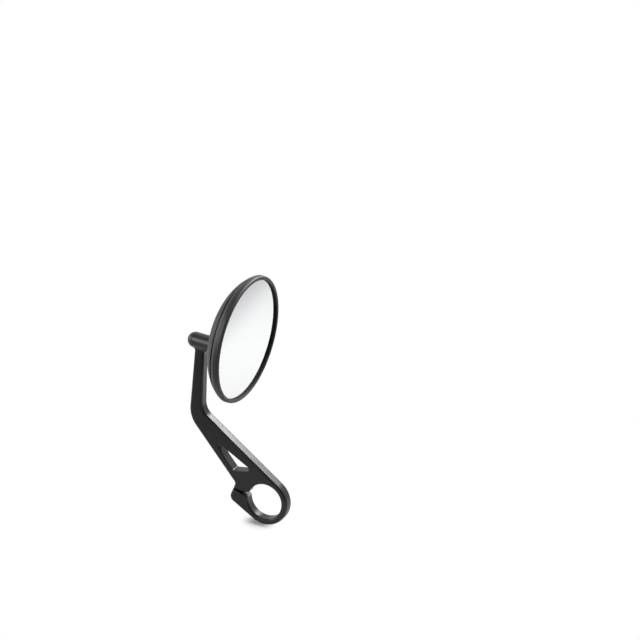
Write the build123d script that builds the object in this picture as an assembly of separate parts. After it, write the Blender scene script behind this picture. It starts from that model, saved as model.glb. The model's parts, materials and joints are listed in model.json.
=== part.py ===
from build123d import *
import os
from math import acos, asin, atan, cos, degrees, pi, radians, sin, sqrt, tan

# Bar end mirror: a machined clamp arm for a handlebar end, with a round mirror head on a ball joint.
# The origin is the centre of the clamp's bore. +Y runs along the bar towards the grip, +Z is up and
# +X is the way the glass faces. Everything is symmetric about y = 0. Lengths are millimetres.

# Clamp ring and its slot
BAR_D = 22.2                # handlebar end that the clamp closes on
RING_WALL = 3.8             # radial wall of the clamp ring
PLATE_T = 7.0               # thickness of the plate that the arm is milled from
PLATE_EDGE_R = 1.6          # rounding of the plate's outer edges
BORE_CHAMFER = 0.9
SLOT_W = 0.6                # at the lug's back edge, where the bolt draws it in
SLOT_FLARE = 18.0           # opening of the slot towards the bore, degrees
SLOT_TOP = 2.95             # height of the slot's upper face above the bore's centre

# Arm outline, seen along the bar
ARM_SLOPE = 31.5            # fall of the upper edge, degrees
LOWER_EDGE_SLOPE = 45.0     # fall of the lower edge, degrees
LOWER_EDGE_INSET = 5.0      # the lower edge's line cuts this far inside the ring's outside
LUG_LENGTH = 6.17           # ring's outside to the lug's back edge, at the slot's upper face
LUG_LEAN = 17.0             # lean of the lug's back edge, degrees
LUG_SLOPE = 27.0            # fall of the lug's underside, degrees
LUG_TIP_R = 3.8
NOTCH_R = 2.5               # inner corner between the lower edge and the lug
ELBOW_OUTER_R = 16.5
ELBOW_INNER_R = 10.0
STEM_BACK = 54.4            # bore centre to the stem's back edge
STEM_W_ELBOW = 8.65         # stem width at the elbow's outer corner
STEM_W_TOP = 5.6            # stem width at the barrel's axis

# Window in the lower arm: four straight edges with rounded corners
WINDOW_UPPER_SLOPE = 25.5   # fall of the edge under the upper rail, degrees
WINDOW_UPPER_RAIL = 3.2     # width of the upper rail, at the ring
WINDOW_LOWER_RAIL = 4.2     # width of the lower rail
WINDOW_BACK_SLOPE = 56.0    # fall of the short edge towards the elbow, degrees
WINDOW_LOWER_RUN = 9.64     # length of the edge along the lower rail
WINDOW_FLOOR_SLOPE = 13.0   # rise of the edge above the ring, degrees
WINDOW_FLOOR_WEB = 3.7      # metal between that edge and the ring's outside
WINDOW_TIP_R = 0.9
WINDOW_BEND_R = 8.0         # where the short edge joins the lower rail
WINDOW_LOW_BACK_R = 1.5
WINDOW_LOW_FRONT_R = 1.7
WINDOW_EDGE_R = 0.5

# Barrel at the top of the stem
BARREL_Z = 88.6             # height of the barrel's axis above the bore's centre
BARREL_R = 4.7
BARREL_OVERHANG = 1.3       # stem's back edge to the centre of the barrel's round end
BARREL_FRONT = 12.58        # stem's back edge to the barrel's end face
BARREL_BLEND_R = 2.4        # fillet between the barrel and the stem
BARREL_END_CHAMFER = 0.5

# Pinch bolt: M3 socket cap screw, sunk in the lug's underside
BOLT_OUT = 1.3              # ring's outside to the bolt's axis
BOLT_D = 3.0
BOLT_L = 12.0
BOLT_HEAD_D = 5.5
BOLT_HEAD_H = 3.0
BOLT_HEX = 2.5              # across the flats
BOLT_HEX_DEPTH = 1.6
BOLT_TIP_ROOM = 1.4         # drilled depth beyond the bolt's tip
LUG_WEB = 3.17              # metal between the slot and the counterbore's floor, at the bolt
WASHER_T = 0.5
WASHER_D = 5.5
THREAD_GAP = 0.03           # radial, a thread's crest in its hole
HOLE_GAP = 0.2              # radial, a screw's shank in a plain hole
COUNTERBORE_GAP = 0.25      # radial, a screw's head in its counterbore
HEAD_CHAMFER = 0.3          # on the edges of screw heads

# Mirror head: form of the housing
HEAD_D = 76.2               # outside diameter of the rim
HEAD_RISE = 9.45            # barrel's axis to the head's axis
DOME_LEAD = 4.2             # centre of the housing's elliptical profile, in front of the glass plane
RIM_DEPTH = 1.6             # depth behind the glass plane where the rim starts to follow the ellipse
SHELL_WALL = 1.8
SHELL_FRONT = 4.6           # depth behind the glass plane where the shell's outside starts
SHELL_EDGE_R = 0.35
GROOVE_LAND = 0.11          # straight part of the groove's back wall, under its rounded edge

# Bezel, glass and pad
LIP_W = 2.45                # width of the lip round the glass that shows
LIP_RISE = 1.5              # bezel's crest in front of the glass's edge
LIP_OUTER_ROUND = 1.4
LIP_INNER_ROUND = 0.8
BEZEL_BACK = 3.5            # depth of the bezel's back edge behind the glass plane
BEZEL_EDGE_R = 0.2
GLASS_BITE = 0.35           # edge of the glass that the lip covers
GLASS_T = 2.0
GLASS_CURVE_R = 1000.0      # convex
GLASS_SEAT_GAP = 0.02       # glass to the lip
GLASS_SIDE_GAP = 0.05       # glass and spigot in the bezel's pocket
LEDGE_W = 3.0               # width of the ledge and of the pad behind the glass
PAD_T = 0.5

# Ball joint
BALL_R = 4.5
BALL_REACH = 7.95           # barrel's end face to the ball's centre
BALL_FIT = 0.08             # running gap of each spherical pair
LINER_T = 1.3
REAR_LINER_ANGLES = (35.0, 78.0)    # measured at the ball's centre from the neck
FRONT_LINER_ANGLES = (15.0, 62.0)   # measured at the ball's centre from the glass's side
NECK_R = 2.4
COLLAR_R = 3.1
COLLAR_T = 0.7
COLLAR_CHAMFER = 0.25
COLLAR_FLATS = 5.2          # spanner width
STUD_R = 2.5
STUD_L = 9.5                # length in the barrel
STUD_TIP_CHAMFER = 0.5
STUD_DRILL_ROOM = 1.0
MOUTH_ANGLE = 44.0          # half angle of the socket's mouth
MOUTH_FLARE = 24.0          # opening of the mouth outwards, degrees
MOUTH_LAND = 1.61           # edge of the mouth to the back of the dome, along the axis
SOCKET_WALL = 2.6
BOSS_LEAD = 1.2             # front of the bosses, in front of the ball's centre

# Ball retainer with its screws and spring washers
RETAINER_GAP = 0.6          # bosses to the retainer's flange
RETAINER_FLANGE_T = 1.6
RETAINER_WALL = 1.5
RETAINER_ROOM = 1.72        # front of the retainer's dish to the glass's back
RETAINER_EYE_R = 2.0        # hole at the middle of the dish
SCREW_COUNT = 3
SCREW_OUT = 4.64            # ball's seat to the screws' axes
SCREW_BOSS_R = 2.9
SCREW_D = 2.5
SCREW_L = 6.0
SCREW_HEAD_D = 4.7
SCREW_HEAD_H = 1.7
SCREW_HEX = 1.5
SCREW_HEX_DEPTH = 0.9
SCREW_TIP_ROOM = 0.3
SPRING_T = 0.6
SPRING_D = 4.4
SPRING_SPLIT = 0.5

# Places worked out from the sizes above
BORE_R = BAR_D / 2
RING_R = BORE_R + RING_WALL
LOWER_EDGE_OFFSET = RING_R - LOWER_EDGE_INSET
LUG_REACH = RING_R + LUG_LENGTH
BOLT_X = RING_R + BOLT_OUT
LINER_INNER_R = BALL_R + BALL_FIT
LINER_OUTER_R = LINER_INNER_R + LINER_T
SEAT_R = LINER_OUTER_R + BALL_FIT
DISH_R = SEAT_R + RETAINER_WALL
SCREW_CIRCLE_R = SEAT_R + SCREW_OUT
BARREL_END = -STEM_BACK + BARREL_FRONT
BALL_X = BARREL_END + BALL_REACH
BALL_DEPTH = DISH_R + RETAINER_ROOM + GLASS_T + GLASS_SEAT_GAP
BALL_INSET = SEAT_R * cos(radians(MOUTH_ANGLE)) + MOUTH_LAND
GLASS_X = BALL_X + BALL_DEPTH
HEAD_Z = BARREL_Z + HEAD_RISE
RIM_R = HEAD_D / 2
LIP_R = RIM_R - LIP_W
GLASS_R = LIP_R + GLASS_BITE
LEDGE_INNER_R = GLASS_R - LEDGE_W
DOME_DEPTH = DOME_LEAD + BALL_DEPTH + BALL_INSET
DOME_R = RIM_R / sqrt(1 - ((DOME_LEAD + RIM_DEPTH) / DOME_DEPTH) ** 2)
LEDGE_DEPTH = GLASS_SEAT_GAP + GLASS_T + PAD_T
SLOT_OUTER = SLOT_TOP - SLOT_W
SLOT_AT_BOLT = SLOT_OUTER - (LUG_REACH - BOLT_X) * tan(radians(SLOT_FLARE))
LUG_FLOOR = SLOT_AT_BOLT - LUG_WEB
BOLT_SEAT = LUG_FLOOR - WASHER_T
FLANGE_BACK = BALL_X + BOSS_LEAD + RETAINER_GAP
FLANGE_FRONT = FLANGE_BACK + RETAINER_FLANGE_T
SCREW_SEAT = FLANGE_FRONT + SPRING_T
FAR = 200.0                 # longer than anything that is cut

BALL_AXIS = Pos(BALL_X, 0, BARREL_Z)


def edge_line(normal_angle, offset):
    """A straight edge in the arm's plane: its normal's direction and its distance along that normal."""
    return cos(radians(normal_angle)), sin(radians(normal_angle)), offset


def edge_through(normal_angle, point):
    nx, nz, offset = edge_line(normal_angle, 0)
    return nx, nz, nx * point[0] + nz * point[1]


def line_through(a, b):
    length = sqrt((b[0] - a[0]) ** 2 + (b[1] - a[1]) ** 2)
    nx, nz = (b[1] - a[1]) / length, (a[0] - b[0]) / length
    return nx, nz, nx * a[0] + nz * a[1]


def shifted(line, distance):
    return line[0], line[1], line[2] + distance


def meet(p, q):
    """The point where two edges cross."""
    det = p[0] * q[1] - q[0] * p[1]
    return (p[2] * q[1] - q[2] * p[1]) / det, (p[0] * q[2] - q[0] * p[2]) / det


UPPER_EDGE = edge_line(90 - ARM_SLOPE, RING_R)
LUG_UNDERSIDE = edge_line(90 - LUG_SLOPE, -RING_R)
LOWER_EDGE = edge_line(90 - LOWER_EDGE_SLOPE, -LOWER_EDGE_OFFSET)
STEM_BACK_EDGE = edge_line(0, -STEM_BACK)
LUG_BACK_EDGE = edge_through(-LUG_LEAN, (-LUG_REACH, SLOT_TOP))


def turned(outline):
    """Turns an outline drawn as (along the axis, radius) about the X axis."""
    return revolve(Plane.XZ * outline, Axis.X)


def rod(radius, start, end):
    """A round rod along the X axis."""
    return Pos((start + end) / 2, 0, 0) * Rot(0, 90, 0) * Cylinder(radius, end - start)


def upright_rod(radius, bottom, top):
    """A round rod along Z at the pinch bolt's axis."""
    return Pos(-BOLT_X, 0, (bottom + top) / 2) * Cylinder(radius, top - bottom)


def hex_rod(across_flats, depth):
    return extrude(RegularPolygon(across_flats / 2, 6, major_radius=False), depth)


def dome_radius(depth, inset=0.0):
    """Radius of the housing's ellipse at a depth behind the glass plane."""
    return (DOME_R - inset) * sqrt(1 - ((DOME_LEAD + depth) / (DOME_DEPTH - inset)) ** 2)


def dome_arc(from_angle, to_angle, inset=0.0):
    """A stretch of the housing's ellipse. The pole at the back is at 180 degrees."""
    centre = (GLASS_X + DOME_LEAD, 0)
    return EllipticalCenterArc(centre, DOME_DEPTH - inset, DOME_R - inset, start_angle=from_angle,
                               arc_size=to_angle - from_angle)


def dome_angle(depth):
    return degrees(acos(-(DOME_LEAD + depth) / DOME_DEPTH))


def screw_places():
    """Places of the retainer screws about the ball's axis, with the first one at the top."""
    for i in range(SCREW_COUNT):
        turn = 2 * pi * i / SCREW_COUNT
        yield Pos(0, SCREW_CIRCLE_R * sin(turn), SCREW_CIRCLE_R * cos(turn))


def arm_outline():
    upper_tangent = (RING_R * UPPER_EDGE[0], RING_R * UPPER_EDGE[1])
    lower_tangent = (-RING_R * LUG_UNDERSIDE[0], -RING_R * LUG_UNDERSIDE[1])
    ring_far_side = (RING_R * UPPER_EDGE[1], -RING_R * UPPER_EDGE[0])
    elbow_outer = meet(STEM_BACK_EDGE, LOWER_EDGE)
    stem_top_front = (-STEM_BACK + STEM_W_TOP, BARREL_Z)
    stem_front_edge = line_through((-STEM_BACK + STEM_W_ELBOW, elbow_outer[1]), stem_top_front)
    corners = [
        (upper_tangent, None),
        (meet(UPPER_EDGE, stem_front_edge), ELBOW_INNER_R),
        (stem_top_front, 0),
        ((-STEM_BACK, BARREL_Z), 0),
        (elbow_outer, ELBOW_OUTER_R),
        (meet(LOWER_EDGE, LUG_BACK_EDGE), NOTCH_R),
        (meet(LUG_BACK_EDGE, LUG_UNDERSIDE), LUG_TIP_R),
        (lower_tangent, None),
    ]
    with BuildSketch() as outline:
        with BuildLine():
            FilletPolyline([c[0] for c in corners], radius=[c[1] for c in corners[1:-1]])
            ThreePointArc(lower_tangent, ring_far_side, upper_tangent)
        make_face()
    return outline.sketch


def window_outline():
    upper = edge_line(90 - WINDOW_UPPER_SLOPE, RING_R - WINDOW_UPPER_RAIL)
    lower = shifted(LOWER_EDGE, WINDOW_LOWER_RAIL)
    floor = edge_line(90 + WINDOW_FLOOR_SLOPE, RING_R + WINDOW_FLOOR_WEB)
    low_back = meet(lower, floor)
    bend = (low_back[0] - WINDOW_LOWER_RUN * cos(radians(LOWER_EDGE_SLOPE)),
            low_back[1] + WINDOW_LOWER_RUN * sin(radians(LOWER_EDGE_SLOPE)))
    back = edge_through(90 - WINDOW_BACK_SLOPE, bend)
    corners = [
        (meet(upper, back), WINDOW_TIP_R),
        (bend, WINDOW_BEND_R),
        (low_back, WINDOW_LOW_BACK_R),
        (meet(floor, upper), WINDOW_LOW_FRONT_R),
    ]
    return make_face(FilletPolyline([c[0] for c in corners], radius=[c[1] for c in corners], close=True))


def slot_outline():
    """A wedge from the lug's back edge to the middle of the bore: level above, and falling below."""
    bore_bottom = SLOT_OUTER - LUG_REACH * tan(radians(SLOT_FLARE))
    corners = [(-FAR, SLOT_TOP), (0, SLOT_TOP), (0, bore_bottom), (-LUG_REACH, SLOT_OUTER), (-FAR, SLOT_OUTER)]
    return make_face(Polyline(corners, close=True))


def arm():
    plate = extrude(Plane.XZ * arm_outline(), PLATE_T / 2, both=True)
    faces = plate.faces().filter_by(Axis.Y).sort_by(Axis.Y)
    plate = fillet(faces[0].outer_wire().edges() + faces[-1].outer_wire().edges(), PLATE_EDGE_R)

    window = extrude(Plane.XZ * window_outline(), PLATE_T, both=True)
    plate -= window
    faces = plate.faces().filter_by(Axis.Y).sort_by(Axis.Y)
    window_edges = [e for face in (faces[0], faces[-1]) for wire in face.inner_wires() for e in wire.edges()]
    plate = fillet(window_edges, WINDOW_EDGE_R)

    bore_half = [(0, 0), (BORE_R, 0), (BORE_R, PLATE_T / 2 - BORE_CHAMFER)]
    bore_half += [(BORE_R + BORE_CHAMFER, PLATE_T / 2), (BORE_R + BORE_CHAMFER, PLATE_T), (0, PLATE_T)]
    half_bore = revolve(make_face(Polyline(bore_half, close=True)), Axis.Y)
    plate -= half_bore + mirror(half_bore, Plane.XZ)

    back_end = -STEM_BACK - BARREL_OVERHANG
    barrel = rod(BARREL_R, back_end, BARREL_END)
    barrel = chamfer(barrel.edges().filter_by(GeomType.CIRCLE).sort_by(Axis.X)[-1], BARREL_END_CHAMFER)
    barrel = Pos(0, 0, BARREL_Z) * (barrel + Pos(back_end, 0, 0) * Sphere(BARREL_R))
    body = plate + barrel
    body = fillet(new_edges(plate, barrel, combined=body), BARREL_BLEND_R)

    stud_hole_end = BARREL_END - STUD_L - STUD_DRILL_ROOM
    body -= Pos(0, 0, BARREL_Z) * rod(STUD_R + THREAD_GAP, stud_hole_end, BARREL_END + 1)
    body -= extrude(Plane.XZ * slot_outline(), PLATE_T, both=True)
    body -= upright_rod(BOLT_HEAD_D / 2 + COUNTERBORE_GAP, -FAR, LUG_FLOOR)
    body -= upright_rod(BOLT_D / 2 + HOLE_GAP, LUG_FLOOR - 1, SLOT_TOP)
    body -= upright_rod(BOLT_D / 2 + THREAD_GAP, SLOT_OUTER, BOLT_SEAT + BOLT_L + BOLT_TIP_ROOM)
    return body


def pinch_bolt():
    head = Cylinder(BOLT_HEAD_D / 2, BOLT_HEAD_H, align=(Align.CENTER, Align.CENTER, Align.MAX))
    head = chamfer(head.edges().sort_by(Axis.Z)[0], HEAD_CHAMFER)
    head -= Pos(0, 0, -BOLT_HEAD_H) * hex_rod(BOLT_HEX, BOLT_HEX_DEPTH)
    shank = Cylinder(BOLT_D / 2, BOLT_L, align=(Align.CENTER, Align.CENTER, Align.MIN))
    shank = chamfer(shank.edges().sort_by(Axis.Z)[-1], HEAD_CHAMFER)
    return Pos(-BOLT_X, 0, BOLT_SEAT) * (head + shank)


def pinch_washer():
    hole = upright_rod(BOLT_D / 2 + HOLE_GAP, BOLT_SEAT - 1, LUG_FLOOR + 1)
    return upright_rod(WASHER_D / 2, BOLT_SEAT, LUG_FLOOR) - hole


def ball_stud():
    collar_front = BARREL_END - BALL_X + COLLAR_T
    barrel_end = BARREL_END - BALL_X
    neck_end = -sqrt(BALL_R ** 2 - NECK_R ** 2)
    profile = [
        (neck_end, NECK_R), (collar_front, NECK_R), (collar_front, COLLAR_R - COLLAR_CHAMFER),
        (collar_front - COLLAR_CHAMFER, COLLAR_R), (barrel_end, COLLAR_R), (barrel_end, STUD_R),
        (barrel_end - STUD_L + STUD_TIP_CHAMFER, STUD_R),
        (barrel_end - STUD_L, STUD_R - STUD_TIP_CHAMFER), (barrel_end - STUD_L, 0), (BALL_R, 0),
    ]
    ball = ThreePointArc((BALL_R, 0), (0, BALL_R), (neck_end, NECK_R))
    stud = turned(make_face(Polyline(profile) + ball))
    flats = Box(COLLAR_T, FAR, FAR) - Box(COLLAR_T, COLLAR_FLATS, FAR)
    stud -= Pos(collar_front - COLLAR_T / 2, 0, 0) * flats
    return BALL_AXIS * stud


def liner(angles, side):
    """A spherical lining between two polar angles. Side -1 is the neck's and 1 is the glass's."""
    def at(radius, angle):
        return side * radius * cos(radians(angle)), radius * sin(radians(angle))
    start, end = angles
    middle = (start + end) / 2
    section = Polyline(at(LINER_INNER_R, start), at(LINER_OUTER_R, start))
    section += ThreePointArc(at(LINER_OUTER_R, start), at(LINER_OUTER_R, middle), at(LINER_OUTER_R, end))
    section += Polyline(at(LINER_OUTER_R, end), at(LINER_INNER_R, end))
    section += ThreePointArc(at(LINER_INNER_R, end), at(LINER_INNER_R, middle), at(LINER_INNER_R, start))
    return BALL_AXIS * turned(make_face(section))


def back_shell():
    front_x = GLASS_X - LEDGE_DEPTH
    pole_x = GLASS_X + DOME_LEAD - DOME_DEPTH
    spigot_r = GLASS_R
    with BuildSketch() as outside:
        with BuildLine():
            rim = dome_arc(dome_angle(SHELL_FRONT), 180) @ 0
            lean = (DOME_R / DOME_DEPTH) ** 2 * (DOME_LEAD + SHELL_FRONT) / rim.Y
            rounded = SHELL_EDGE_R / tan(atan(1 / lean) / 2)
            groove_r = rim.Y - rounded - GROOVE_LAND
            groove_back = (rim.X, groove_r)
            groove_front = (GLASS_X - BEZEL_BACK, groove_r)
            Polyline(rim, groove_back, groove_front, (groove_front[0], spigot_r), (front_x, spigot_r),
                     (front_x, 0), (pole_x, 0))
        make_face()
        fillet(outside.vertices().sort_by_distance(rim)[0], SHELL_EDGE_R)
    inner_angle = 180 - degrees(asin(LEDGE_INNER_R / (DOME_R - SHELL_WALL)))
    with BuildSketch() as inside:
        with BuildLine():
            ledge_end = dome_arc(inner_angle, 180, SHELL_WALL) @ 0
            Polyline(ledge_end, (front_x, LEDGE_INNER_R), (front_x, 0), (pole_x + SHELL_WALL, 0))
        make_face()
    place = Pos(0, 0, HEAD_Z)
    boss_front = BALL_X + BOSS_LEAD
    bosses = rod(SEAT_R + SOCKET_WALL, pole_x, boss_front)
    for spot in screw_places():
        bosses += spot * rod(SCREW_BOSS_R, pole_x, boss_front)
    shell = place * turned(outside.sketch) - (place * turned(inside.sketch) - Pos(0, 0, BARREL_Z) * bosses)

    socket = Sphere(SEAT_R) + rod(SEAT_R, 0, FAR)
    edge = (-SEAT_R * cos(radians(MOUTH_ANGLE)), SEAT_R * sin(radians(MOUTH_ANGLE)))
    flare = SEAT_R
    outer = (edge[0] - flare, edge[1] + flare * tan(radians(MOUTH_FLARE)))
    socket += turned(make_face(Polyline((0, 0), edge, outer, (outer[0], 0), close=True)))
    shell -= BALL_AXIS * socket
    tip = SCREW_SEAT - SCREW_L - SCREW_TIP_ROOM
    for spot in screw_places():
        shell -= Pos(0, 0, BARREL_Z) * spot * rod(SCREW_D / 2 + THREAD_GAP, tip, boss_front + 1)
    return shell


def bezel_ring():
    crest_x = GLASS_X + LIP_RISE
    back_x = GLASS_X - BEZEL_BACK
    pocket_r = GLASS_R + GLASS_SIDE_GAP
    with BuildSketch() as section:
        with BuildLine():
            side = dome_arc(dome_angle(RIM_DEPTH), dome_angle(BEZEL_BACK))
            Polyline(side @ 0, (crest_x, RIM_R), (crest_x, LIP_R), (GLASS_X, LIP_R), (GLASS_X, pocket_r),
                     (back_x, pocket_r), side @ 1)
        make_face()
        corners = section.vertices()
        fillet(corners.sort_by_distance((crest_x, RIM_R))[0], LIP_OUTER_ROUND)
        fillet(section.vertices().sort_by_distance((crest_x, LIP_R))[0], LIP_INNER_ROUND)
        fillet(section.vertices().sort_by_distance(side @ 1)[0], BEZEL_EDGE_R)
    return Pos(0, 0, HEAD_Z) * turned(section.sketch)


def glass_sag(radius):
    return GLASS_CURVE_R - sqrt(GLASS_CURVE_R ** 2 - radius ** 2)


def glass_front(radius):
    """X of the glass's convex face, which meets the lip's inner edge."""
    return GLASS_X - GLASS_SEAT_GAP + glass_sag(LIP_R) - glass_sag(radius)


def mirror_glass():
    half_r = GLASS_R / 2
    front = ThreePointArc((glass_front(0), 0), (glass_front(half_r), half_r), (glass_front(GLASS_R), GLASS_R))
    back = Pos(-GLASS_T, 0, 0) * front
    edge = Line(front @ 1, back @ 1)
    middle = Line(front @ 0, back @ 0)
    return Pos(0, 0, HEAD_Z) * turned(make_face(front + edge + back + middle))


def glass_pad():
    """Foam ring: its front follows the glass's back, and its back lies on the shell's ledge."""
    back_x = GLASS_X - LEDGE_DEPTH
    front_x = glass_front(LEDGE_INNER_R) - GLASS_T
    edge_x = glass_front(GLASS_R) - GLASS_T
    corners = [(back_x, LEDGE_INNER_R), (front_x, LEDGE_INNER_R), (edge_x, GLASS_R), (back_x, GLASS_R)]
    section = Polyline(corners, close=True)
    return Pos(0, 0, HEAD_Z) * turned(make_face(section))


def ball_retainer():
    """A flange with three lobes, and a dish that follows the front liner."""
    flange_back = FLANGE_BACK - BALL_X
    flange_front = FLANGE_FRONT - BALL_X
    flange_r = SEAT_R + SOCKET_WALL

    def on_sphere(radius, r):
        return sqrt(radius ** 2 - r ** 2), r

    seat_start = (flange_back, sqrt(SEAT_R ** 2 - flange_back ** 2))
    dish_start = (flange_front, sqrt(DISH_R ** 2 - flange_front ** 2))
    seat_end = on_sphere(SEAT_R, RETAINER_EYE_R)
    dish_end = on_sphere(DISH_R, RETAINER_EYE_R)
    section = Polyline(seat_start, (flange_back, flange_r), (flange_front, flange_r), dish_start)
    section += ThreePointArc(dish_start, on_sphere(DISH_R, DISH_R / 2), dish_end)
    section += Line(dish_end, seat_end)
    section += ThreePointArc(seat_end, on_sphere(SEAT_R, SEAT_R / 2), seat_start)
    retainer = turned(make_face(section))
    for spot in screw_places():
        retainer += spot * rod(SCREW_BOSS_R, flange_back, flange_front)
    for spot in screw_places():
        retainer -= spot * rod(SCREW_D / 2 + HOLE_GAP, flange_back - 1, flange_front + 1)
    return BALL_AXIS * retainer


def retainer_screws():
    head = rod(SCREW_HEAD_D / 2, SCREW_SEAT, SCREW_SEAT + SCREW_HEAD_H)
    head = fillet(head.edges().filter_by(GeomType.CIRCLE).sort_by(Axis.X)[-1], HEAD_CHAMFER)
    hex_end = SCREW_SEAT + SCREW_HEAD_H
    head -= Pos(hex_end - SCREW_HEX_DEPTH, 0, 0) * Rot(0, 90, 0) * hex_rod(SCREW_HEX, SCREW_HEX_DEPTH)
    screw = head + rod(SCREW_D / 2, SCREW_SEAT - SCREW_L, SCREW_SEAT)
    return [Pos(0, 0, BARREL_Z) * spot * screw for spot in screw_places()]


def spring_washers():
    ring = rod(SPRING_D / 2, FLANGE_FRONT, SCREW_SEAT)
    ring -= rod(SCREW_D / 2 + HOLE_GAP, FLANGE_FRONT - 1, SCREW_SEAT + 1)
    ring -= Pos((FLANGE_FRONT + SCREW_SEAT) / 2, 0, SPRING_D / 2) * Box(SPRING_T * 2, SPRING_SPLIT, SPRING_D)
    return [Pos(0, 0, BARREL_Z) * spot * ring for spot in screw_places()]


PIECES = {
    "arm": arm,
    "pinch_bolt": pinch_bolt,
    "pinch_washer": pinch_washer,
    "ball_stud": ball_stud,
    "rear_liner": lambda: liner(REAR_LINER_ANGLES, -1),
    "front_liner": lambda: liner(FRONT_LINER_ANGLES, 1),
    "back_shell": back_shell,
    "bezel_ring": bezel_ring,
    "mirror_glass": mirror_glass,
    "glass_pad": glass_pad,
    "ball_retainer": ball_retainer,
    "retainer_screws": retainer_screws,
    "spring_washers": spring_washers,
}

os.makedirs("parts", exist_ok=True)
for node, build in PIECES.items():
    piece = build()
    solids = piece if isinstance(piece, list) else piece.solids()
    shape = solids[0] if len(solids) == 1 else Compound(children=solids)
    shape.label = node
    export_step(shape, f"parts/{node}.step")
    print(node, len(solids), "solids", round(sum(s.volume for s in solids), 1), "mm3")
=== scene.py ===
# %% [markdown]
# # A bar end mirror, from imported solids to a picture
# The solids of the clamp arm, the ball joint and the mirror head come from CAD, in metres, with the
# origin at the centre of the clamp's bore. This lesson adds what CAD leaves out: screw threads and
# knurled heads, the finish of each material, the silvered glass, and a plain studio to see them in.

# %% Load the solids
import json
import math

import bmesh
import bpy
from mathutils import Matrix, Vector


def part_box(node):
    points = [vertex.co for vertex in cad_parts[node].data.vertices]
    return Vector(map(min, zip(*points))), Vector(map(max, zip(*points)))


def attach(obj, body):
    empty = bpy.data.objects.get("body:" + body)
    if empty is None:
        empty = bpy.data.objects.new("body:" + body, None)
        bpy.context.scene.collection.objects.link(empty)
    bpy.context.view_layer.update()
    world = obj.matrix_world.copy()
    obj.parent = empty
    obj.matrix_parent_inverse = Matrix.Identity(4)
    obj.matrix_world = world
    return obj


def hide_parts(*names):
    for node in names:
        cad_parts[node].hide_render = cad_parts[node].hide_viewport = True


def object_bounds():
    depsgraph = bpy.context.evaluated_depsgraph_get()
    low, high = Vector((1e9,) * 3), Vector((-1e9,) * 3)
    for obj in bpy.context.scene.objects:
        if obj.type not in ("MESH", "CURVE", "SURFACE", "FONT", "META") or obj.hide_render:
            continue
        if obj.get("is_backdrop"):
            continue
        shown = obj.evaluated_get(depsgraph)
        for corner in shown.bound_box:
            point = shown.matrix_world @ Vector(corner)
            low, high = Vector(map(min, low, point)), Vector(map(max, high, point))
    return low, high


MM_PER_M = 1000

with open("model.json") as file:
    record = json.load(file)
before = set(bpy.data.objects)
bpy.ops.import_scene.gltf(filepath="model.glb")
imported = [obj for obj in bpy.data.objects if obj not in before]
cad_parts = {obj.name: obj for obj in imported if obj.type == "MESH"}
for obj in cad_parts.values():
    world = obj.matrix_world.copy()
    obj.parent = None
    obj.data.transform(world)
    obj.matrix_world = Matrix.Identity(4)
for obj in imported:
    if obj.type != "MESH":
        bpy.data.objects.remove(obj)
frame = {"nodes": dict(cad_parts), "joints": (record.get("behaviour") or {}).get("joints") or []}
nodes = frame["nodes"]
cad_box = [list(corner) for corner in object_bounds()]


def in_mm(box):
    """The two corners of a box, in millimetres."""
    return [[MM_PER_M * value for value in corner] for corner in box]


def print_box(title, box):
    print(title, [[round(value, 1) for value in corner] for corner in in_mm(box)], "mm")


print_box(f"box of the {len(nodes)} nodes:", cad_box)

# %% [markdown]
# ## The camera
# The clamp's bore and the round glass are both circles, so the ellipses that they make in a picture give
# the viewing angle. The picture was also taken with the camera rolled a little. A rotation in Euler
# angles would hide that, so the camera's matrix is put together from the three directions themselves:
# right, up and back.

# %% Place the camera
VIEW_AZIMUTH = math.radians(23.18)              # from the outer side of the arm towards the glass
VIEW_ELEVATION = math.radians(23.36)
VIEW_ROLL = math.radians(6.26)
VIEW_DISTANCE = 1.2
VIEW_TARGET = Vector((0.0012, 0.0477, 0.1004))  # what lies in the middle of the picture
LENS_MM = 113.9
SENSOR_MM = 36
SIGHT_END = 50                                  # beyond the edge of the floor


def add_object(name, data):
    """Puts a new object with this data in the scene."""
    thing = bpy.data.objects.new(name, data)
    bpy.context.scene.collection.objects.link(thing)
    return thing


def view_axes(azimuth, elevation, roll):
    """The camera's right, its up, and the direction that it looks in."""
    into = Vector((-math.sin(azimuth) * math.cos(elevation), math.cos(azimuth) * math.cos(elevation),
                   -math.sin(elevation)))
    level = Vector((math.cos(azimuth), math.sin(azimuth), 0))
    upright = level.cross(into)
    right = math.cos(roll) * level + math.sin(roll) * upright
    up = math.cos(roll) * upright - math.sin(roll) * level
    return right, up, into


right, up, into = view_axes(VIEW_AZIMUTH, VIEW_ELEVATION, VIEW_ROLL)
camera = add_object("camera", bpy.data.cameras.new("camera"))
camera.data.lens = LENS_MM
camera.data.sensor_width = SENSOR_MM
camera.data.clip_end = SIGHT_END
turned = Matrix((right, up, -into)).transposed().to_4x4()
camera.matrix_world = Matrix.Translation(VIEW_TARGET - VIEW_DISTANCE * into) @ turned
bpy.context.scene.camera = camera
bpy.context.scene.view_settings.view_transform = "Standard"
print("camera at", [round(value, 3) for value in camera.matrix_world.translation])

# %% [markdown]
# ## Small helpers for shader nodes
# Every finish below is a node tree. Its nodes could be added line by line, with more lines for their
# values and links. A few helpers keep the cells short instead: one adds a node and feeds its inputs, with
# plain values or with the sockets of other nodes, and another starts a node group with named sockets.


# %% Node helpers
def feed(tree, node, inputs):
    """Feeds inputs of a node. Each takes a plain value, or the output socket that drives it."""
    for key, value in inputs.items():
        if isinstance(value, bpy.types.NodeSocket):
            tree.links.new(value, node.inputs[key])
        else:
            node.inputs[key].default_value = value


def add_node(tree, kind, inputs=None, **settings):
    node = tree.nodes.new(kind)
    for name, value in settings.items():
        setattr(node, name, value)
    feed(tree, node, inputs or {})
    return node


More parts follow.
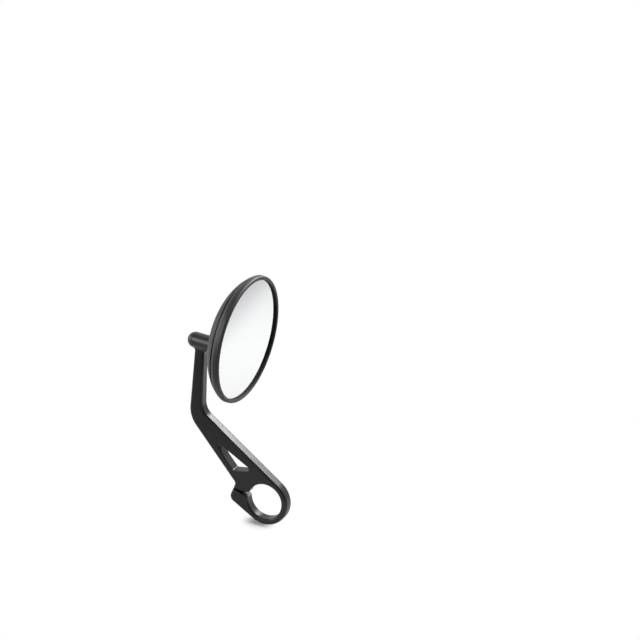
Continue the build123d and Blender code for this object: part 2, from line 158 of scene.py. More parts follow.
def math_node(tree, operation, *values, clamp=False):
    inputs = dict(enumerate(values))
    return add_node(tree, "ShaderNodeMath", inputs, operation=operation, use_clamp=clamp).outputs[0]


def smooth_range(tree, value, low, high, to_low=0.0, to_high=1.0):
    """Eases a value from one range into another."""
    inputs = {"Value": value, "From Min": low, "From Max": high, "To Min": to_low, "To Max": to_high}
    return add_node(tree, "ShaderNodeMapRange", inputs, interpolation_type="SMOOTHSTEP").outputs["Result"]


def noise(tree, vector, scale, detail=3.0, roughness=0.55):
    inputs = {"Vector": vector, "Scale": scale, "Detail": detail, "Roughness": roughness}
    return add_node(tree, "ShaderNodeTexNoise", inputs).outputs["Fac"]


def mix_colour(tree, factor, first, second):
    """A colour between two others. Each is a plain colour or a socket."""
    node = add_node(tree, "ShaderNodeMix", {"Factor": factor}, data_type="RGBA")
    sockets = {socket.identifier: socket for socket in (*node.inputs, *node.outputs)}
    for end, value in (("A_Color", first), ("B_Color", second)):
        if isinstance(value, bpy.types.NodeSocket):
            tree.links.new(value, sockets[end])
        else:
            sockets[end].default_value = (*value, 1)
    return sockets["Result_Color"]


def bump(tree, height, strength, distance):
    inputs = {"Height": height, "Strength": strength, "Distance": distance}
    return add_node(tree, "ShaderNodeBump", inputs).outputs[0]


def new_group(name, inputs, outputs):
    """A node group, the sockets that it is given, and the node that takes its results."""
    tree = bpy.data.node_groups.new(name, "ShaderNodeTree")
    for label, kind, default in inputs:
        socket = tree.interface.new_socket(label, in_out="INPUT", socket_type="NodeSocket" + kind)
        if default is not None:
            socket.default_value = default
    for label, kind in outputs:
        tree.interface.new_socket(label, in_out="OUTPUT", socket_type="NodeSocket" + kind)
    return tree, add_node(tree, "NodeGroupInput").outputs, add_node(tree, "NodeGroupOutput")


def use_group(tree, group, inputs):
    return add_node(tree, "ShaderNodeGroup", inputs, node_tree=group).outputs


print("helpers ready")

# %% [markdown]
# ## Effects that several finishes share
# Black anodised metal is blasted before it is dyed, so it has a very fine tooth. Turned pieces keep faint
# rings around their axis, milled walls keep streaks along the cutter's path, and edges that hands and
# rags reach are rubbed a little lighter. All this could be painted on an unwrapped skin, but solids from
# CAD have none. Noise in metres needs none, and its grain is the same size on every piece. Each effect is
# a node group, so that a finish only states how much of it there is.

# %% Blasted skin: a fine tooth and a slow mottle
blasted_skin, given, result = new_group(
    "blasted skin",
    [("Place", "Vector", None), ("Grains per metre", "Float", 5200.0), ("Mottle per metre", "Float", 90.0)],
    [("Height", "Float"), ("Mottle", "Float")])
feed(blasted_skin, result, {
    "Height": noise(blasted_skin, given["Place"], given["Grains per metre"], detail=2.0),
    "Mottle": noise(blasted_skin, given["Place"], given["Mottle per metre"], detail=4.0)})
print(blasted_skin.name, len(blasted_skin.nodes), "nodes")

# %% Turned rings: uneven fine lines along one measure, such as a radius or a length
turned_rings, given, result = new_group(
    "turned rings",
    [("Measure", "Float", 0.0), ("Lines per metre", "Float", 4000.0)],
    [("Height", "Float")])
along = add_node(turned_rings, "ShaderNodeCombineXYZ", {"X": given["Measure"]}).outputs[0]
feed(turned_rings, result, {"Height": noise(turned_rings, along, given["Lines per metre"], detail=1.0)})
print(turned_rings.name, len(turned_rings.nodes), "nodes")

# %% Cutter streaks: lines along a milled wall, thin across the plate and long along the cut
STREAK_SHARPNESS = (0.06, 1.0, 0.06)    # the noise is fine along Y, across the plate, and long elsewhere

cutter_streaks, given, result = new_group(
    "cutter streaks",
    [("Place", "Vector", None), ("Lines per metre", "Float", 2600.0)],
    [("Height", "Float")])
drawn_out = add_node(cutter_streaks, "ShaderNodeVectorMath", {0: given["Place"], 1: STREAK_SHARPNESS},
                     operation="MULTIPLY").outputs[0]
feed(cutter_streaks, result, {
    "Height": noise(cutter_streaks, drawn_out, given["Lines per metre"], detail=2.0)})
print(cutter_streaks.name, len(cutter_streaks.nodes), "nodes")

# %% Rubbed edges: a mask where a surface turns from one face to the next, broken up by noise
PATCHES_PER_METRE = 260.0
PATCH_FROM, PATCH_TO = 0.42, 0.72       # noise below the first is left alone, above the second it is rubbed

rubbed_edges, given, result = new_group(
    "rubbed edges",
    [("Facing", "Float", 0.0), ("Place", "Vector", None),
     ("Middle", "Float", 0.7), ("Width", "Float", 0.25)],
    [("Mask", "Float")])
off_middle = math_node(rubbed_edges, "SUBTRACT", given["Facing"], given["Middle"])
away = math_node(rubbed_edges, "ABSOLUTE", off_middle)
widths_away = math_node(rubbed_edges, "DIVIDE", away, given["Width"])
band = math_node(rubbed_edges, "SUBTRACT", 1.0, widths_away, clamp=True)
uneven = noise(rubbed_edges, given["Place"], PATCHES_PER_METRE, detail=5.0, roughness=0.7)
patches = smooth_range(rubbed_edges, uneven, PATCH_FROM, PATCH_TO)
feed(rubbed_edges, result, {"Mask": math_node(rubbed_edges, "MULTIPLY", band, patches)})
print(rubbed_edges.name, len(rubbed_edges.nodes), "nodes")

# %% [markdown]
# ## Measures that the finishes use
# A finish has to know where it is on its piece. Object coordinates are metres in the part's own frame, so
# the distance from the head's axis or the barrel's axis is a square root away. The object normal tells
# the flat faces of the plate from its milled walls. Masks painted on the points of a mesh would do the
# same, but they would be as coarse as its triangles.

# %% Places on a piece
HEAD_R = 0.0381                                     # outside of the bezel
HEAD_AXIS_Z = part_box("bezel_ring")[1][2] - HEAD_R
BARREL_AXIS_Z = frame["joints"][0]["pos_m"][2]      # the head turns about the barrel's axis
MOTTLE_LOW, MOTTLE_HIGH = 0.3, 0.7                  # most of the noise lies between these


def new_finish(name):
    """A material, its tree and shader, the spot on the piece, and that spot and the normal by axis."""
    material = bpy.data.materials.new(name)
    material.use_nodes = True
    tree = material.node_tree
    shader = tree.nodes["Principled BSDF"]
    where = add_node(tree, "ShaderNodeTexCoord").outputs
    place = add_node(tree, "ShaderNodeSeparateXYZ", {0: where["Object"]}).outputs
    facing = add_node(tree, "ShaderNodeSeparateXYZ", {0: where["Normal"]}).outputs
    return material, tree, shader, where["Object"], place, facing


def radius_about_x(tree, place, height):
    """Distance from an axis along X at a height."""
    rise = math_node(tree, "SUBTRACT", place["Z"], height)
    square = math_node(tree, "ADD", math_node(tree, "MULTIPLY", rise, rise),
                       math_node(tree, "MULTIPLY", place["Y"], place["Y"]))
    return math_node(tree, "SQRT", square)


def mottled(tree, skin, roughness):
    """Roughness that wanders between two values with the mottle of a blasted skin."""
    return smooth_range(tree, skin["Mottle"], MOTTLE_LOW, MOTTLE_HIGH, *roughness)


def give(material, *names):
    """Puts one finish on CAD solids."""
    for name in names:
        nodes[name].data.materials.clear()
        nodes[name].data.materials.append(material)
    print(material.name, "with", len(material.node_tree.nodes), "nodes, on", ", ".join(names))


print("head axis at", round(HEAD_AXIS_Z, 5), "barrel axis at", BARREL_AXIS_Z)

# %% [markdown]
# ## Black anodised arm
# The dye makes the metal almost black, so what shows is the clear oxide's reflection: dark where it faces
# the viewer and silvery where it turns away. A metallic shader would reflect evenly all over, so this one
# is not metallic, and has the oxide's refraction. The flat faces are blasted and the walls show cutter
# streaks. The barrel is turned, and a turned skin takes the dye a little paler.

# %% Finish of the arm
ANODISED_BLACK = (0.0045, 0.0045, 0.0047)
TURNED_BLACK = (0.030, 0.030, 0.031)
RUBBED_GREY = (0.016, 0.016, 0.0165)
ANODISED_IOR = 1.55
WALL_FACING, FLAT_FACING = 0.1, 0.5     # share of the normal along Y on a milled wall and on a flat face
BARREL_SKIN = (0.0049, 0.0064)          # the turned skin ends between these distances from the barrel's axis
ARM_ROUGHNESS = (0.35, 0.41)
WALL_POLISH = 0.10                      # the cutter leaves its walls that much smoother
TOOTH_SHARE = 0.6
STREAK_SHARE = 0.5
ARM_RELIEF = 0.025
SKIN_DEPTH = 0.0001

arm_finish, tree, shader, spot, place, facing = new_finish("arm_black_anodised")
flatness = math_node(tree, "ABSOLUTE", facing["Y"])
wall = smooth_range(tree, flatness, WALL_FACING, FLAT_FACING, 1.0, 0.0)
barrel = smooth_range(tree, radius_about_x(tree, place, BARREL_AXIS_Z), *BARREL_SKIN, 1.0, 0.0)
skin = use_group(tree, blasted_skin, {"Place": spot})
streaks = use_group(tree, cutter_streaks, {"Place": spot})
edges = use_group(tree, rubbed_edges, {"Facing": flatness, "Place": spot, "Middle": 0.72, "Width": 0.3})
dyed = mix_colour(tree, barrel, ANODISED_BLACK, TURNED_BLACK)
polish = math_node(tree, "MULTIPLY", wall, WALL_POLISH)
tooth = math_node(tree, "MULTIPLY", skin["Height"], TOOTH_SHARE)
cut = math_node(tree, "MULTIPLY", streaks["Height"], math_node(tree, "MULTIPLY", wall, STREAK_SHARE))
feed(tree, shader, {
    "Base Color": mix_colour(tree, edges["Mask"], dyed, RUBBED_GREY),
    "Roughness": math_node(tree, "SUBTRACT", mottled(tree, skin, ARM_ROUGHNESS), polish),
    "IOR": ANODISED_IOR,
    "Normal": bump(tree, math_node(tree, "ADD", tooth, cut), ARM_RELIEF, SKIN_DEPTH)})
give(arm_finish, "arm")

# %% [markdown]
# ## Black anodised head
# The shell and the bezel are turned about the head's axis. Their finish could be that of the arm, but on
# turned pieces faint rings take the place of the streaks, and the colour is the paler one of the barrel.
# Where the lip's inner wall meets the glass, painted shade darkens the colour, and the finish is duller.

# %% Finish of the shell and the bezel
TURNED_GREY = (0.042, 0.042, 0.043)     # the turned skin where it is rubbed
RIM_FROM, RIM_TO = 0.0345, 0.0362       # rubbing starts between these distances from the head's axis
RINGS_PER_METRE = 2400.0
LIP_T = 0.0015                          # thickness of the lip in front of the glass
LIP_INNER_R = 0.03565                   # wall of the lip, round the glass
LIP_SOFTNESS = 0.0002
# the painted shade and the dullness reach this far in front of the glass's edge
CORNER_DEPTH = 0.0004
GLASS_EDGE_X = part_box("bezel_ring")[1][0] - LIP_T
HEAD_ROUGHNESS = (0.46, 0.53)
CORNER_DULLNESS = 0.4
RING_SHARE = 0.8
HEAD_RELIEF = 0.02

head_finish, tree, shader, spot, place, facing = new_finish("head_black_anodised")
radius = radius_about_x(tree, place, HEAD_AXIS_Z)
front = math_node(tree, "ABSOLUTE", facing["X"])
skin = use_group(tree, blasted_skin, {"Place": spot})
rings = use_group(tree, turned_rings, {"Measure": radius, "Lines per metre": RINGS_PER_METRE})
edges = use_group(tree, rubbed_edges, {"Facing": front, "Place": spot, "Middle": 0.7, "Width": 0.22})
rubbed = math_node(tree, "MULTIPLY", edges["Mask"], smooth_range(tree, radius, RIM_FROM, RIM_TO))
inside_lip = smooth_range(tree, radius, LIP_INNER_R, LIP_INNER_R + LIP_SOFTNESS, 1.0, 0.0)
before_glass = smooth_range(tree, place["X"], GLASS_EDGE_X - CORNER_DEPTH, GLASS_EDGE_X)
# painted shade: in the lip's corner round the glass the colour turns to the arm's black, and the roughness
# rises
corner = math_node(tree, "MULTIPLY", inside_lip, before_glass)
dyed = mix_colour(tree, rubbed, TURNED_BLACK, TURNED_GREY)
dullness = math_node(tree, "MULTIPLY", corner, CORNER_DULLNESS)
tooth = math_node(tree, "MULTIPLY", skin["Height"], TOOTH_SHARE)
lines = math_node(tree, "MULTIPLY", rings["Height"], RING_SHARE)
feed(tree, shader, {
    "Base Color": mix_colour(tree, corner, dyed, ANODISED_BLACK),
    "Roughness": math_node(tree, "ADD", mottled(tree, skin, HEAD_ROUGHNESS), dullness),
    "IOR": ANODISED_IOR,
    "Normal": bump(tree, math_node(tree, "ADD", tooth, lines), HEAD_RELIEF, SKIN_DEPTH)})
give(head_finish, "back_shell", "bezel_ring")

# %% [markdown]
# ## Silvered glass
# A mirror is glass in front of silver. A fully metallic surface with almost no roughness gives the
# silver's reflection. The glass is a cap of a large sphere, and a mirror shows every fault of its
# normals, so the shader takes the normal straight from the sphere's centre and not from the triangles.
# Real mirrors are never quite clean, so a thin uneven film, thicker near the bezel, dulls this one a
# little.

# %% Finish of the glass
SILVER = (0.93, 0.935, 0.94)
FILM = (0.80, 0.81, 0.82)
FILM_FROM, FILM_TO = 0.031, 0.036       # the film thickens between these distances from the head's axis
FILM_MIDDLE = 0.25                      # how much of it the middle of the glass has
FILM_TINT = 0.35
CLOUDS_PER_METRE = 60.0
CLOUD_LOW, CLOUD_HIGH = 0.45, 0.75
GLASS_ROUGHNESS = (0.012, 0.05)         # of clean glass, and under the film
GLASS_CURVE = 1.0                       # radius of the convex face
GLASS_CREST_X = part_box("mirror_glass")[1][0]

glass_finish, tree, shader, spot, place, _ = new_finish("silvered_glass")
near_lip = smooth_range(tree, radius_about_x(tree, place, HEAD_AXIS_Z), FILM_FROM, FILM_TO)
cloud = smooth_range(tree, noise(tree, spot, CLOUDS_PER_METRE, detail=4.0), CLOUD_LOW, CLOUD_HIGH)
film = math_node(tree, "MULTIPLY", math_node(tree, "ADD", near_lip, FILM_MIDDLE), cloud, clamp=True)
sphere_centre = (GLASS_CREST_X - GLASS_CURVE, 0.0, HEAD_AXIS_Z)
outward = add_node(tree, "ShaderNodeVectorMath", {0: spot, 1: sphere_centre},
                   operation="SUBTRACT").outputs[0]
true_normal = add_node(tree, "ShaderNodeVectorTransform", {0: outward}, vector_type="NORMAL",
                       convert_from="OBJECT", convert_to="WORLD").outputs[0]
feed(tree, shader, {
    "Base Color": mix_colour(tree, math_node(tree, "MULTIPLY", film, FILM_TINT), SILVER, FILM),
    "Roughness": smooth_range(tree, film, 0.0, 1.0, *GLASS_ROUGHNESS),
    "Metallic": 1.0,
    "Normal": true_normal})
give(glass_finish, "mirror_glass")
print("glass crest at", round(GLASS_CREST_X, 5))

# %% [markdown]
# ## Steel, nylon and foam
# The ball stud, the retainer and its screws are plain turned steel. The pinch bolt and its washer are
# black oxide steel. The ball's lining is natural nylon, and the glass rests on black closed-cell foam.
# These pieces are small or hidden, so each finish is put together from the groups above, with no effect
# of its own.

# %% Turned steel
STEEL = (0.50, 0.50, 0.51)
STEEL_DULL = (0.40, 0.40, 0.41)
STEEL_ROUGHNESS = (0.22, 0.36)

steel_finish, tree, shader, spot, place, _ = new_finish("turned_steel")
rings = use_group(tree, turned_rings, {"Measure": place["X"], "Lines per metre": 5200.0})
skin = use_group(tree, blasted_skin, {"Place": spot, "Mottle per metre": 300.0})
feed(tree, shader, {
    "Base Color": mix_colour(tree, skin["Mottle"], STEEL, STEEL_DULL),
    "Roughness": mottled(tree, skin, STEEL_ROUGHNESS),
    "Metallic": 1.0,
    "Normal": bump(tree, rings["Height"], strength=0.15, distance=0.00005)})
give(steel_finish, "ball_stud", "ball_retainer", "retainer_screws", "spring_washers")

# %% Black oxide steel
OXIDE = (0.018, 0.018, 0.019)
OXIDE_THIN = (0.035, 0.034, 0.034)
OXIDE_ROUGHNESS = (0.3, 0.45)

oxide_finish, tree, shader, spot, *_ = new_finish("black_oxide_steel")
skin = use_group(tree, blasted_skin, {"Place": spot, "Mottle per metre": 400.0})
feed(tree, shader, {
    "Base Color": mix_colour(tree, skin["Mottle"], OXIDE, OXIDE_THIN),
    "Roughness": mottled(tree, skin, OXIDE_ROUGHNESS),
    "Metallic": 0.6,
    "Normal": bump(tree, skin["Height"], strength=0.1, distance=0.00005)})
give(oxide_finish, "pinch_bolt", "pinch_washer")

# %% Natural nylon
NYLON = (0.74, 0.73, 0.69)
NYLON_AGED = (0.66, 0.65, 0.6)

nylon_finish, tree, shader, spot, *_ = new_finish("natural_nylon")
skin = use_group(tree, blasted_skin, {"Place": spot, "Mottle per metre": 250.0})
feed(tree, shader, {
    "Base Color": mix_colour(tree, skin["Mottle"], NYLON, NYLON_AGED),
    "Roughness": 0.5,
    "Normal": bump(tree, skin["Height"], strength=0.1, distance=0.0001)})
give(nylon_finish, "rear_liner", "front_liner")

# %% Closed-cell foam
FOAM = (0.012, 0.012, 0.012)
FOAM_CREST = (0.03, 0.03, 0.03)

foam_finish, tree, shader, spot, *_ = new_finish("closed_cell_foam")
skin = use_group(tree, blasted_skin, {"Place": spot, "Grains per metre": 2500.0})
feed(tree, shader, {
    "Base Color": mix_colour(tree, skin["Height"], FOAM, FOAM_CREST),
    "Roughness": 0.9,
    "Normal": bump(tree, skin["Height"], strength=0.5, distance=0.0003)})
give(foam_finish, "glass_pad")

# %% [markdown]
# ## Screws and the ball stud
# In CAD a thread is a plain cylinder, because a helix is heavy there and no fit needs it. Here it is
# cheap: a screw is a stack of rings, and each ring's radius may change with the angle. One such rule
# gives a helical thread, another a knurled head, a hexagonal socket or the spanner flats of a collar.
# Stacking rings was chosen over sweeping a profile along a curve, because the whole piece, head, thread
# and socket, stays one closed skin.

# %% A skin from a stack of rings
CREASE = math.radians(32)       # a sharper turn than this shows as an edge


def ring_stack(rows, around):
    """Points and faces of a closed skin. A row is a place on the axis with a radius, or a rule for one."""
    points, faces = [], []
    for along, radius in rows:
        for step in range(around):
            angle = math.tau * step / around
            r = radius(angle) if callable(radius) else radius
            points.append(Vector((r * math.cos(angle), r * math.sin(angle), along)))
    for row in range(len(rows) - 1):
        for step in range(around):
            a, b = row * around + step, row * around + (step + 1) % around
            faces.append((a, b, b + around, a + around))
    first, last = len(points), len(points) + 1
    points += [Vector((0, 0, rows[0][0])), Vector((0, 0, rows[-1][0]))]
    tail = (len(rows) - 1) * around
    for step in range(around):
        after = (step + 1) % around
        faces.append((first, after, step))
        faces.append((last, tail + step, tail + after))
    return points, faces


def skin_piece(name, skins, finish, body, stands_for):
    """One object from one or more placed skins, in millimetres, that takes the place of a CAD solid."""
    points, faces = [], []
    for matrix, (skin_points, skin_faces) in skins:
        faces += [[len(points) + index for index in face] for face in skin_faces]
        points += [(matrix @ point) / MM_PER_M for point in skin_points]
    mesh = bpy.data.meshes.new(name)
    mesh.from_pydata(points, [], faces)
    shape = bmesh.new()
    shape.from_mesh(mesh)
    bmesh.ops.recalc_face_normals(shape, faces=shape.faces)
    shape.to_mesh(mesh)
    shape.free()
    mesh.shade_smooth()
    mesh.set_sharp_from_angle(angle=CREASE)
    mesh.materials.append(finish)
    piece = add_object(name, mesh)
    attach(piece, body)
    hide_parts(stands_for)
    print(name, len(faces), "faces")


print("edges sharper than", round(math.degrees(CREASE)), "degrees stay crisp")

# %% Rules for a ring's radius
TINY = 1e-6                     # keeps a division away from zero


def hexagon(across_flats):
    """Six flats, as in a socket."""
    return lambda angle: across_flats / 2 / math.cos((angle + math.pi / 6) % (math.pi / 3) - math.pi / 6)


def knurl(radius, teeth, depth):
    """Pointed teeth round a head."""
    return lambda angle: radius - depth * abs((angle * teeth / math.tau) % 1.0 - 0.5) * 2


def flats(radius, across_flats):
    """A round with two flats, for a spanner."""
    return lambda angle: min(radius, across_flats / 2 / max(abs(math.sin(angle)), TINY))


print("a socket's corners are", round(hexagon(2)(math.pi / 6), 3), "times as far out as its flats")

# %% Threads
ROWS_PER_TURN = 8
THREAD_DEPTH = 0.6134           # of a metric thread, as a share of its pitch
HALF_CREST = 1 / 16             # half of the crest's width, as a share of the pitch
FLANK = 5 / 16
RUN_IN = 1.5                    # turns over which a thread grows to its full depth
POINT_DEPTH = 0.7               # of the cone at a screw's end, as a share of the pitch


def thread(crest, pitch, along, share=1.0):
    """Metric thread: crest an eighth of the pitch wide, root a quarter."""
    def radius(angle):
        off_crest = abs((along / pitch - angle / math.tau) % 1.0 - 0.5)
        cut = min(max((off_crest - HALF_CREST) / FLANK, 0), 1)
        return crest - share * THREAD_DEPTH * pitch * cut
    return radius


def thread_rows(crest, pitch, start, end):
    """Rings of a thread that fades in at its start, under a head, and is cut to a cone at its end."""
    count = round(abs(end - start) / pitch * ROWS_PER_TURN)
    rows = []
    for step in range(count + 1):
        along = start + (end - start) * step / count
        turns, from_end = abs(along - start) / pitch, abs(end - along)
        rule = thread(crest, pitch, along, min(turns / RUN_IN, 1.0))
        cone = crest - POINT_DEPTH * pitch + from_end
        rows.append((along, lambda angle, rule=rule, cone=cone: min(rule(angle), cone)))
    return rows


print("threads are cut", THREAD_DEPTH, "of their pitch deep, with", ROWS_PER_TURN, "rings to a turn")

# %% Cap screws: thread, knurled head and hexagonal socket
SCREW_AROUND = 144
CREST_PLAY = 0.01                       # a crest is that much under the nominal size
SIDE_PLAY = 0.005                       # and so is the head
SEAT_EDGE = ((0.0, 0.25), (0.12, 0.04))             # depth under the seat, and how far in from the side
CROWN = ((0.28, 0.03), (0.08, 0.22), (0.0, 0.34))   # depth under the top, and how far in from the side
KNURL_TEETH = 36
KNURL_DEPTH = 0.09
KNURL_FROM, KNURL_TO = 0.2, 0.36        # depth under the seat and under the top where the teeth end
MOUTH_SHARE = 0.61                      # radius of the socket's round mouth, as a share of its width
EASE_DEPTH, EASE_WIDTH = 0.12, 1.01     # below the mouth the flats are a little wide at first
FLATS_DEPTH = 0.2
BOTTOM_SHARE, BOTTOM_STEP = 0.36, 0.02  # radius of the drilled bottom, as a share of the width, and its edge
DRILL_DEPTH, DRILL_R = 0.3, 0.05        # point that the drill leaves


def cap_screw(shank_d, pitch, length, head_d, head_h, socket, socket_depth):
    """A screw along +Z from its seat at zero, with the head below."""
    r, top, bottom = head_d / 2, -head_h, socket_depth - head_h
    side, socket_flats = knurl(r - SIDE_PLAY, KNURL_TEETH, KNURL_DEPTH), hexagon(socket)
    rows = thread_rows(shank_d / 2 - CREST_PLAY, pitch, 0.0, length)[::-1]
    rows += [(-depth, r - inset) for depth, inset in SEAT_EDGE]
    rows += [(-KNURL_FROM, side), (-head_h / 2, side), (top + KNURL_TO, side)]
    rows += [(top + depth, r - inset) for depth, inset in CROWN]
    rows += [(top, MOUTH_SHARE * socket), (top + EASE_DEPTH, lambda angle: EASE_WIDTH * socket_flats(angle))]
    rows += [(top + FLATS_DEPTH, socket_flats), (bottom, socket_flats)]
    rows += [(bottom + BOTTOM_STEP, BOTTOM_SHARE * socket), (bottom + DRILL_DEPTH, DRILL_R)]
    return ring_stack(rows, SCREW_AROUND)


BOLT_HEAD_H = 3.0

bolt_low, bolt_high = in_mm(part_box("pinch_bolt"))
bolt_seat = Vector(((bolt_low[0] + bolt_high[0]) / 2, 0, bolt_low[2] + BOLT_HEAD_H))
bolt = cap_screw(shank_d=3.0, pitch=0.5, length=bolt_high[2] - bolt_seat.z, head_d=5.5, head_h=BOLT_HEAD_H,
                 socket=2.5, socket_depth=1.6)
skin_piece("pinch_bolt_detail", [(Matrix.Translation(bolt_seat), bolt)], oxide_finish,
           "arm", "pinch_bolt")

# %% The three screws of the retainer, round the ball
SCREW_COUNT = 3
SCREW_CIRCLE = 10.6             # radius of the circle that they stand on
SCREW_HEAD_H = 1.7

screw = cap_screw(shank_d=2.5, pitch=0.45, length=6.0, head_d=4.7, head_h=SCREW_HEAD_H,
                  socket=1.5, socket_depth=0.9)
seat_x = in_mm(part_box("retainer_screws"))[1][0] - SCREW_HEAD_H
placed = []
for number in range(SCREW_COUNT):
    angle = math.tau * number / SCREW_COUNT
    seat = Vector((seat_x, SCREW_CIRCLE * math.sin(angle),
                   MM_PER_M * BARREL_AXIS_Z + SCREW_CIRCLE * math.cos(angle)))
    placed.append((Matrix.Translation(seat) @ Matrix.Rotation(-math.pi / 2, 4, "Y"), screw))
skin_piece("retainer_screws_detail", placed, steel_finish, "head", "retainer_screws")

# %% Ball stud: thread, collar with spanner flats, waisted neck and ball
STUD_AROUND = 96
STUD_L = 9.5                            # the thread in the barrel
STUD_D = 5.0
STUD_PITCH = 0.8
COLLAR_R = 3.1
COLLAR_T = 0.7
COLLAR_FLATS = 5.2
REAR_EDGE, FRONT_EDGE = 0.1, 0.25       # height of the collar's broken edges
REAR_INSET, FRONT_INSET = 0.12, 0.25    # how far in they go at the collar's round
REAR_FLAT, FRONT_FLAT = 5.0, 4.8        # what they leave across the flats
NECK_R = 2.4
NECK_FILLET = 0.12
BALL_R = 4.5
BALL_ROWS = 40
POLE_R = 0.02                           # the last ring of the ball, round its pole

stud_low, stud_high = in_mm(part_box("ball_stud"))
ball_x = stud_high[0] - BALL_R
barrel_face = stud_low[0] + STUD_L - ball_x
neck_from = barrel_face + COLLAR_T
neck_to = -math.sqrt(BALL_R ** 2 - NECK_R ** 2)
rows = thread_rows(STUD_D / 2 - CREST_PLAY, STUD_PITCH, barrel_face, barrel_face - STUD_L)[::-1]
side = flats(COLLAR_R - SIDE_PLAY, COLLAR_FLATS)
rows += [(barrel_face, flats(COLLAR_R - REAR_INSET, REAR_FLAT)), (barrel_face + REAR_EDGE, side)]
rows += [(neck_from - FRONT_EDGE, side), (neck_from, flats(COLLAR_R - FRONT_INSET, FRONT_FLAT))]
rows += [(neck_from, NECK_R + NECK_FILLET), (neck_from + NECK_FILLET / 3, NECK_R + NECK_FILLET / 3)]
rows += [(neck_from + NECK_FILLET, NECK_R), (neck_to - NECK_FILLET, NECK_R)]
rows += [(neck_to - NECK_FILLET / 4, NECK_R + NECK_FILLET / 4)]
neck_angle = math.acos(neck_to / BALL_R)
for number in range(BALL_ROWS + 1):
    angle = neck_angle * (1 - number / BALL_ROWS)
    rows.append((BALL_R * math.cos(angle), max(BALL_R * math.sin(angle), POLE_R)))
to_barrel = Matrix.Translation((ball_x, 0, MM_PER_M * BARREL_AXIS_Z)) @ Matrix.Rotation(math.pi / 2, 4, "Y")
skin_piece("ball_stud_detail", [(to_barrel, ring_stack(rows, STUD_AROUND))], steel_finish,
           "arm", "ball_stud")

# %% [markdown]
# ## Floor, world and lamps
# A product picture like this one is taken on white paper with soft boxes around it, in a room that is
# dark on the camera's side. Black metal shows where the boxes stand. A small bright one behind lights the
# arm's upper walls, one overhead lights the roundings beside them, one at the left draws the dome's edge,
# and a tall one near the camera draws the line along the barrel. The flat faces and the glass mirror the
# paper, which carries painted shade in front and at the right: it is coloured greyer there.
#
# The paper is lit, so it keeps the mirror's soft shadow round its foot. Away from there it fades, for the
# camera alone, into a glow of strength one, which is plain white. A stronger glow was tried first: it
# spills over the edges of the black metal when the picture is sampled, and makes the arm look thinner
# than it is. From below the sheet is clear, so that the bolt in the lug's underside can be looked at.

# %% Sheet of paper
FLOOR_GAP = 0.0002              # between the mirror's lowest point and the paper
FLOOR_REACH = 12.0

floor_z = cad_box[0][2] - FLOOR_GAP
ends = (-FLOOR_REACH, FLOOR_REACH)
mesh = bpy.data.meshes.new("floor")
mesh.from_pydata([(x, y, floor_z) for y in ends for x in ends], [], [(0, 1, 3, 2)])
floor = add_object("floor", mesh)
floor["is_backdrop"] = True
print("floor at", round(MM_PER_M * floor_z, 2), "mm")

# %% Tone and glow of the paper
PAPER = (0.66, 0.66, 0.66)
# painted shade: the sheet is greyed towards the camera and at the right, so the metal and glass mirror it
# darker
PAPER_FRONT_SHADE = (0.20, 0.20, 0.205)       # the sheet towards the camera
FRONT_FROM, FRONT_TO = -0.03, -0.12
PAPER_SIDE_SHADE = (0.46, 0.46, 0.47)         # the sheet at the right
SIDE_FROM, SIDE_TO = 0.095, 0.16
FOOT = (-0.003, -0.002, floor_z)        # middle of the shadow, under the clamp
GLOW_FROM, GLOW_TO = 0.002, 0.0115      # the shadow ends in the glow between these distances from the foot
GLOW_NEAR, GLOW_FAR = 0.05, 1.0         # share of the glow in the shadow and away from it
GLOW_MIRRORED = 0.10                    # share of the glow in reflections
WHITE = (1, 1, 1, 1)

paper = bpy.data.materials.new("paper")
paper.use_nodes = True
tree = paper.node_tree
tree.nodes.clear()
rays = add_node(tree, "ShaderNodeLightPath").outputs
spot = add_node(tree, "ShaderNodeTexCoord").outputs["Object"]
place = add_node(tree, "ShaderNodeSeparateXYZ", {0: spot}).outputs
# the paper's tone carries the painted shade in front and at the right
tone = mix_colour(tree, smooth_range(tree, place["Y"], FRONT_TO, FRONT_FROM), PAPER_FRONT_SHADE, PAPER)
tone = mix_colour(tree, smooth_range(tree, place["X"], SIDE_FROM, SIDE_TO), tone, PAPER_SIDE_SHADE)
off_foot = add_node(tree, "ShaderNodeVectorMath", {0: spot, 1: FOOT}, operation="DISTANCE").outputs["Value"]
seen_glow = smooth_range(tree, off_foot, GLOW_FROM, GLOW_TO, GLOW_NEAR, GLOW_FAR)
mirrored = math_node(tree, "MAXIMUM", rays["Is Glossy Ray"], rays["Is Transmission Ray"])
share = math_node(tree, "ADD", math_node(tree, "MULTIPLY", rays["Is Camera Ray"], seen_glow),
                  math_node(tree, "MULTIPLY", mirrored, GLOW_MIRRORED))
sheet = add_node(tree, "ShaderNodeBsdfDiffuse", {"Color": tone}).outputs[0]
glow = add_node(tree, "ShaderNodeEmission", {"Color": WHITE, "Strength": 1.0}).outputs[0]
from_above = add_node(tree, "ShaderNodeMixShader", {"Fac": share, 1: sheet, 2: glow}).outputs[0]
from_below = add_node(tree, "ShaderNodeBsdfTransparent").outputs[0]
below = add_node(tree, "ShaderNodeNewGeometry").outputs["Backfacing"]
sided = add_node(tree, "ShaderNodeMixShader", {"Fac": below, 1: from_above, 2: from_below}).outputs[0]
add_node(tree, "ShaderNodeOutputMaterial", {"Surface": sided})
floor.data.materials.append(paper)
print(paper.name, "with", len(tree.nodes), "nodes")

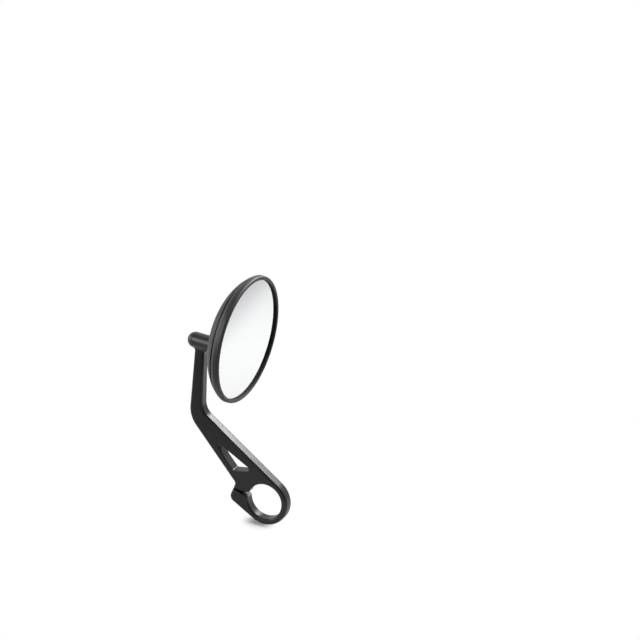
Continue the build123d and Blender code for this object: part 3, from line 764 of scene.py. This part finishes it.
# %% World: white for the camera, a pale back wall and a dark camera side for the metal
ROOM_DARK, ROOM_PALE = 0.12, 0.80
DARK_UNTIL, PALE_FROM = -0.25, 0.7      # share of the direction along Y, which points away from the camera

world = bpy.data.worlds.new("studio")
bpy.context.scene.world = world
world.use_nodes = True
tree = world.node_tree
tree.nodes.clear()
rays = add_node(tree, "ShaderNodeLightPath").outputs
outlook = add_node(tree, "ShaderNodeTexCoord").outputs["Generated"]
direction = add_node(tree, "ShaderNodeSeparateXYZ", {0: outlook}).outputs
room = smooth_range(tree, direction["Y"], DARK_UNTIL, PALE_FROM, ROOM_DARK, ROOM_PALE)
seen = math_node(tree, "MAXIMUM", rays["Is Camera Ray"], rays["Is Transmission Ray"])
strength = math_node(tree, "MAXIMUM", room, seen)
sky = add_node(tree, "ShaderNodeBackground", {"Color": WHITE, "Strength": strength}).outputs[0]
add_node(tree, "ShaderNodeOutputWorld", {"Surface": sky})
print(world.name, "with", len(tree.nodes), "nodes")


# %% Soft boxes
def soft_box(name, place, aim, size, radiance):
    """A rectangular lamp with an even face, set by how bright that face looks."""
    lamp = bpy.data.lights.new(name, "AREA")
    lamp.shape = "RECTANGLE"
    lamp.size, lamp.size_y = size
    lamp.energy = radiance * math.pi * size[0] * size[1]
    box = add_object(name, lamp)
    box.location = place
    box.rotation_euler = (Vector(aim) - Vector(place)).to_track_quat("-Z", "Y").to_euler()
    box.visible_camera = False
    print(name, round(lamp.energy, 2), "W")


soft_box("overhead_box", place=(0.22, 0.32, 0.62), aim=(0, 0, 0.06), size=(0.50, 0.45), radiance=3.0)
soft_box("back_box", place=(0.06, 0.28, 0.315), aim=(-0.02, 0, 0.04), size=(0.16, 0.16), radiance=13.0)
soft_box("side_box", place=(-0.48, -0.12, 0.16), aim=(-0.03, 0, 0.08), size=(0.40, 0.26), radiance=2.3)
soft_box("front_box", place=(-0.34, -0.76, 0.46), aim=(-0.03, 0, 0.09), size=(0.25, 0.60), radiance=7.5)

# %% [markdown]
# ## The size after the finishes
# The finishes must not make the mirror larger than its solids, so the box of everything shown is printed
# at the end, as the box of the solids was at the start.

# %% Finish
visual_box = [list(corner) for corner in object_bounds()]
print_box("visual box:", visual_box)
